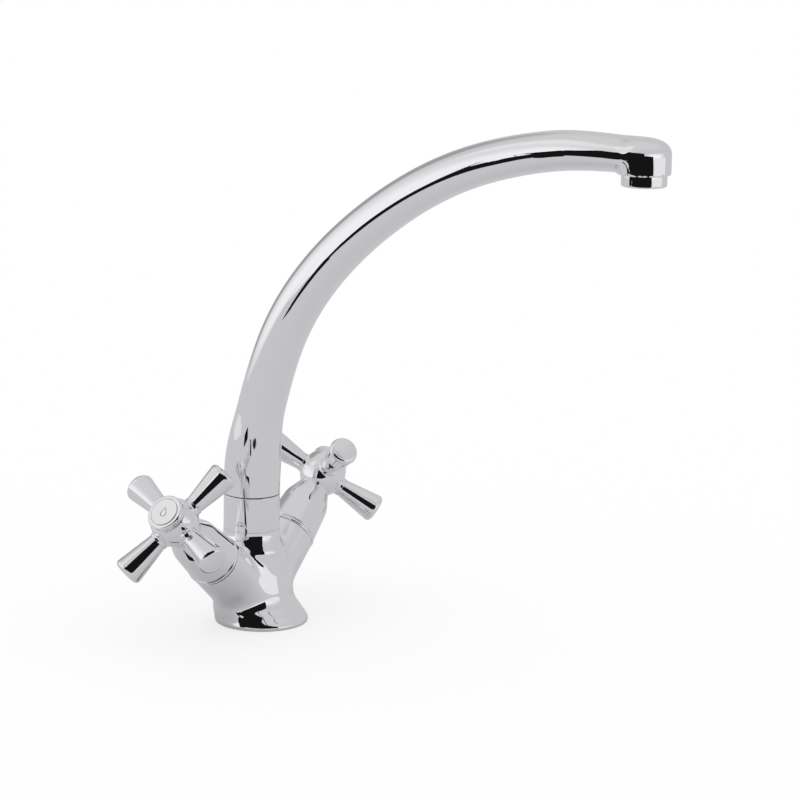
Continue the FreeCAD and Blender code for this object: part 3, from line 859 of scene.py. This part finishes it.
def make_index(name):
    outline = rounded([
        (0.0, cap_top - index_recess, 0),
        (index_radius, cap_top - index_recess, 0),
        (index_radius, cap_top + index_proud, index_rounding),
        (0.0, cap_top + index_proud, 0),
    ])
    points, faces = lathe(outline)
    piece = mesh_object(name + "_index_skin", on_valve(points, name, rest_turns[name]), faces, index_satin)
    return place_piece(piece, name + "_handle", "index_chrome", name + "_index_plate")


def make_mark(name):
    """Plain water drop in outline, inlaid in the index plate and upright at rest."""
    top = cap_top + mark_proud
    deep = top - mark_depth
    turns = np.linspace(0.0, 2 * math.pi, mark_steps, endpoint=False)
    outlines = []
    for shrink in (0.0, mark_line):
        across = (mark_half_width - shrink) * mark_fullness * np.sin(turns)
        across = across * np.abs(np.sin(turns / 2)) ** mark_pointedness
        drop = shrink * (mark_line_share + mark_line_swing * np.cos(turns)) / mark_line_share
        rise = (mark_half_height - drop) * np.cos(turns)
        outlines.append(np.stack((across, rise * sides[name]), 1))
    outer, inner = outlines
    points = []
    for outline, height in ((outer, deep), (outer, top), (inner, top), (inner, deep)):
        points.append(np.column_stack((outline, np.full(mark_steps, height))))
    ring_count = len(points)
    faces = []
    for ring in range(ring_count):
        first, second = ring * mark_steps, (ring + 1) % ring_count * mark_steps
        for step in range(mark_steps):
            after = (step + 1) % mark_steps
            faces.append((first + step, first + after, second + after, second + step))
    piece = mesh_object(name + "_mark", on_valve(np.concatenate(points), name), faces, mark_ink)
    turn_faces_out(piece.data)
    shade(piece.data)
    return place_piece(piece, name + "_handle", "dark_plastic")


# Collar under the spout, and nozzle at its end

fine_turn_steps = 160
grub_hole_start = 8.0
grub_hole_length = 12.0
aerator_low = 250.85
aerator_radius = 11.1
aerator_rounding = 1.2
aerator_mouth = 7.4
aerator_lip = 1.0
aerator_bore = 8.4
aerator_thread = 9.6
aerator_thread_length = 1.5


def make_collar():
    outline = rounded([
        (collar_inner, column_top, 0),
        (column_radius, column_top, 0.25),
        (column_radius, collar_top, 0.35),
        (collar_inner, collar_top, 0),
        (collar_inner, column_top, 0),
    ])
    points, faces = lathe(outline, fine_turn_steps)
    piece = mesh_object("collar_skin", points + np.array((0, column_shift, 0)), faces, chrome)
    grub_low, grub_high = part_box("spout_grub_screw")
    grub_height = (grub_low[2] + grub_high[2]) / 2 / MM
    grub_hole = (0.0, column_shift + grub_hole_start, grub_height)
    drill(piece, [(grub_hole, (0.0, 1.0, 0.0), grub_hole_radius, 0.0, grub_hole_length)])
    return place_piece(piece, "root", "chrome", "spout_collar")


def make_aerator():
    outline = rounded([
        (aerator_mouth, aerator_low + aerator_lip, 0),
        (aerator_mouth, aerator_low, 0.2),
        (aerator_radius, aerator_low, aerator_rounding),
        (aerator_radius, boss_low, 0.2),
        (aerator_thread, boss_low, 0),
        (aerator_thread, boss_low + aerator_thread_length, 0),
        (aerator_bore, boss_low + aerator_thread_length, 0),
        (aerator_bore, aerator_low + aerator_lip, 0),
        (aerator_mouth, aerator_low + aerator_lip, 0),
    ])
    points, faces = lathe(outline, fine_turn_steps)
    points = points + np.array((0, column_shift - boss_reach, 0))
    piece = mesh_object("aerator_skin", points, faces, chrome)
    return place_piece(piece, "spout", "chrome", "aerator_housing")


make_body()
make_spout()
make_collar()
make_aerator()
for valve_name in sides:
    make_bead(valve_name)
    make_shroud(valve_name)
    make_hub(valve_name)
    make_arms(valve_name)
    make_cap(valve_name)
    make_index(valve_name)
    make_mark(valve_name)


# Inner pieces that keep their solids

inner_finishes = (
    (rubber, ("base_seal", "spout_seals", "aerator_washer"), ("spindle_ring", "seat_seal")),
    (brass, ("spout_stem",), ("headwork", "spindle")),
    (ceramic, (), ("fixed_disc", "moving_disc")),
    (dark_plastic, ("spout_bearing",), ()),
    (white_plastic, ("aerator_insert",), ()),
    (steel, ("aerator_screen", "spout_grub_screw"), ("circlip", "handle_screw")),
)
for finish, single_nodes, valve_nodes in inner_finishes:
    for node_name in single_nodes + tuple(side + "_" + part for side in sides for part in valve_nodes):
        node_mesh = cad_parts[node_name].data
        node_mesh.materials.clear()
        node_mesh.materials.append(finish)


# Studio: floor, light tent, cards, world and camera

floor_reach = 2600.0
floor_steps = 96
floor_color = (0.61, 0.61, 0.615, 1)
floor_seen_color = (0.4, 0.4, 0.4, 1)
floor_seen_lift = (0.6, 0.6, 0.6, 1)

# Light tent in degrees: a turn has a centre and the gaps at which its glow starts and ends to fade
tent_reach = 3000.0
tent_rings = 90
tent_steps = 180
tent_light_low = 0.60
tent_light_gain = 0.07
tent_light_rise = (35.0, 65.0)
left_light = 0.96
left_turn = (130.0, 12.0, 70.0)
left_rise_start = (-5.0, 5.0)
left_rise_end = (10.0, 54.0)
plate_light = 0.83
plate_turn = (126.5, 8.0, 26.0)
plate_rise = 51.0
plate_rise_fade = (6.0, 20.0)
right_light = 1.0
right_turn = (-104.0, 8.0, 50.0)
right_rise_fade = (8.0, 32.0)
back_light = 0.36
back_turn = (60.0, 8.0, 26.0)
back_rise = 12.0
back_rise_fade = (26.0, 46.0)

# Cards: strengths, and the turn of those in front of the tap
dark_card = 0.008
edge_card = 0.95
right_card = 0.85
front_turn = -148.7


def stage_object(name, points, faces, material, glossy_only=False):
    mesh = bpy.data.meshes.new(name)
    mesh.from_pydata([tuple(point) for point in np.asarray(points) * MM], [], faces)
    mesh.materials.append(material)
    item = bpy.data.objects.new(name, mesh)
    bpy.context.scene.collection.objects.link(item)
    if glossy_only:
        item.visible_camera = False
        item.visible_diffuse = False
        item.visible_shadow = False
    return item


def glow_material(name, attribute=None, strength=1.0):
    """Plain light for the reflections, of one strength or of the strength that the mesh carries."""
    material = bpy.data.materials.new(name)
    material.use_nodes = True
    material.cycles.emission_sampling = "NONE"
    nodes, links = material.node_tree.nodes, material.node_tree.links
    nodes.clear()
    light = nodes.new("ShaderNodeEmission")
    light.inputs["Strength"].default_value = strength
    output = nodes.new("ShaderNodeOutputMaterial")
    links.new(light.outputs["Emission"], output.inputs["Surface"])
    if attribute:
        carried = nodes.new("ShaderNodeAttribute")
        carried.attribute_name = attribute
        links.new(carried.outputs["Fac"], light.inputs["Strength"])
    return material


def make_floor():
    """Pale floor that looks white to the camera, apart from the tap's shade on it."""
    points = [(0.0, 0.0, 0.0)]
    faces = []
    for step in range(floor_steps):
        angle = 2 * math.pi * step / floor_steps
        points.append((floor_reach * math.cos(angle), floor_reach * math.sin(angle), 0.0))
        faces.append((0, 1 + step, 1 + (step + 1) % floor_steps))
    material = bpy.data.materials.new("pale_floor")
    material.use_nodes = True
    nodes, links = material.node_tree.nodes, material.node_tree.links
    shader = nodes["Principled BSDF"]
    shader.inputs["Roughness"].default_value = 1.0
    shader.inputs["Specular IOR Level"].default_value = 0.0
    path = nodes.new("ShaderNodeLightPath")
    tint = nodes.new("ShaderNodeMix")
    tint.data_type = "RGBA"
    tint.inputs["A"].default_value = floor_color
    tint.inputs["B"].default_value = floor_seen_color
    links.new(path.outputs["Is Camera Ray"], tint.inputs["Factor"])
    links.new(tint.outputs["Result"], shader.inputs["Base Color"])
    shader.inputs["Emission Color"].default_value = floor_seen_lift
    links.new(path.outputs["Is Camera Ray"], shader.inputs["Emission Strength"])
    stage_object("floor", points, faces, material)


def tent_light(turn, rise):
    """Brightness of the light tent by direction, in degrees of turn and rise."""
    def near(center, full, end):
        gap = np.abs((turn - center + 180) % 360 - 180)
        return 1 - smooth_step(full, end, gap)

    light = tent_light_low + tent_light_gain * smooth_step(*tent_light_rise, rise)
    left_glow = near(*left_turn) * smooth_step(*left_rise_start, rise)
    left_glow = left_glow * (1 - smooth_step(*left_rise_end, rise))
    plate_glow = near(*plate_turn) * (1 - smooth_step(*plate_rise_fade, np.abs(rise - plate_rise)))
    right_glow = near(*right_turn) * (1 - smooth_step(*right_rise_fade, np.abs(rise)))
    back_shade = near(*back_turn) * (1 - smooth_step(*back_rise_fade, np.abs(rise - back_rise)))
    light = light + (left_light - light) * left_glow
    light = light + np.maximum(plate_light - light, 0.0) * plate_glow
    light = light + (right_light - light) * right_glow
    return light + (back_light - light) * back_shade


def make_tent():
    points = []
    strengths = []
    faces = []
    for ring in range(tent_rings + 1):
        rise = 90.0 - 180.0 * ring / tent_rings
        flat = tent_reach * math.cos(math.radians(rise))
        height = tent_reach * math.sin(math.radians(rise))
        first, second = ring * tent_steps, (ring + 1) * tent_steps
        for step in range(tent_steps):
            turn = 360.0 * step / tent_steps - 180.0
            side, ahead = math.cos(math.radians(turn)), math.sin(math.radians(turn))
            points.append((flat * side, flat * ahead, height))
            strengths.append(float(tent_light(turn, rise)))
            if ring < tent_rings:
                after = (step + 1) % tent_steps
                faces.append((first + step, first + after, second + after, second + step))
    tent = stage_object("tent", points, faces, glow_material("tent_glow", "glow"), True)
    glow = tent.data.attributes.new("glow", "FLOAT", "POINT")
    glow.data.foreach_set("value", strengths)


def make_card(name, turn, distance, outline, strength):
    """Upright card that only reflections see, with its outline as places across and heights."""
    turn = math.radians(turn)
    ahead = np.array((math.cos(turn), math.sin(turn), 0.0))
    side = np.array((-ahead[1], ahead[0], 0.0))
    points = [ahead * distance + side * across + np.array((0.0, 0.0, height)) for across, height in outline]
    material = glow_material(name + "_glow", strength=strength)
    stage_object(name, points, [tuple(range(len(points)))], material, True)


def make_cards():
    """Dark openings of the tent as the tap sees them, with a bright edge and a bright far side."""
    opening = [
        (-345, 80), (-345, 95), (-318, 126), (-255, 140), (-238, 146), (-236, 180), (-241, 215),
        (-246, 252), (-238, 254), (-232, 215), (-226, 203), (-200, 202), (-188, 190), (-168, 215),
        (-150, 262), (-140, 318), (-108, 318), (-60, 300), (10, 275), (130, 266), (150, 285),
        (285, 268), (285, 42), (60, 44), (0, 48), (-60, 58), (-110, 66), (-163, 68), (-217, 66),
        (-255, 62), (-300, 70), (-330, 76),
    ]
    edge = [
        (-700, 110), (-700, 200), (-400, 220), (-262, 240), (-262, 275), (-190, 300), (-130, 330), (-60, 340),
        (10, 340), (10, 200), (-345, 80), (-400, 100),
    ]
    outlet = [
        (141, 195), (147, 200), (150, 213), (160, 222), (170, 231), (177, 238), (184, 249), (203, 249),
        (204, 206), (430, 200), (430, 372), (300, 343), (210, 326), (170, 322), (166, 305), (162, 291),
        (158, 282), (152, 276), (149, 268), (142, 259),
    ]
    foot = [
        (-54, 4.5), (-46, 2.5), (-37, 5.5), (-31, 10.5), (-24, 15.5), (-17, 20.5), (-10, 25.5), (-3, 32),
        (-12, 33), (-30, 32), (-54, 24),
    ]
    tail = [(-163, 108), (-160, 152), (-130, 148), (-92, 126), (-105, 114), (-117, 105)]
    far_side = [(-420, 15), (420, 15), (420, 200), (-420, 200)]
    make_card("card_opening", front_turn, 270.0, opening, dark_card)
    make_card("card_edge", front_turn, 271.0, edge, edge_card)
    make_card("card_outlet", 151.7, 31.8, outlet, dark_card)
    make_card("card_foot", front_turn, 60.0, foot, dark_card)
    make_card("card_tail", front_turn, 150.0, tail, dark_card)
    make_card("card_right", -85.0, 1000.0, far_side, right_card)


def make_world():
    world = bpy.data.worlds.new("studio")
    bpy.context.scene.world = world
    world.use_nodes = True
    world.node_tree.nodes["Background"].inputs["Color"].default_value = (1.0, 1.0, 1.0, 1)


def make_camera():
    turn, pitch, roll = camera_turn, camera_pitch, camera_roll
    back = Vector((math.sin(turn) * math.cos(pitch), -math.cos(turn) * math.cos(pitch), math.sin(pitch)))
    right = Vector((math.cos(turn), math.sin(turn), 0.0))
    up = back.cross(right)
    aim = right * camera_aim_side + Vector((0, 0, camera_aim_height))
    rolled_right = right * math.cos(roll) + up * math.sin(roll)
    rolled_up = up * math.cos(roll) - right * math.sin(roll)
    data = bpy.data.cameras.new("photo_camera")
    data.sensor_width = sensor_width
    data.sensor_fit = "HORIZONTAL"
    data.lens = camera_focal_pixels / image_pixels * sensor_width
    data.clip_end = 100.0
    camera = bpy.data.objects.new("photo_camera", data)
    place = (aim + back * camera_distance) * MM
    rows = [(rolled_right[axis], rolled_up[axis], back[axis], place[axis]) for axis in range(3)]
    camera.matrix_world = Matrix(rows + [(0, 0, 0, 1)])
    bpy.context.scene.collection.objects.link(camera)
    bpy.context.scene.camera = camera


make_floor()
make_tent()
make_cards()
make_world()
make_camera()
bpy.context.scene.view_settings.view_transform = "Standard"
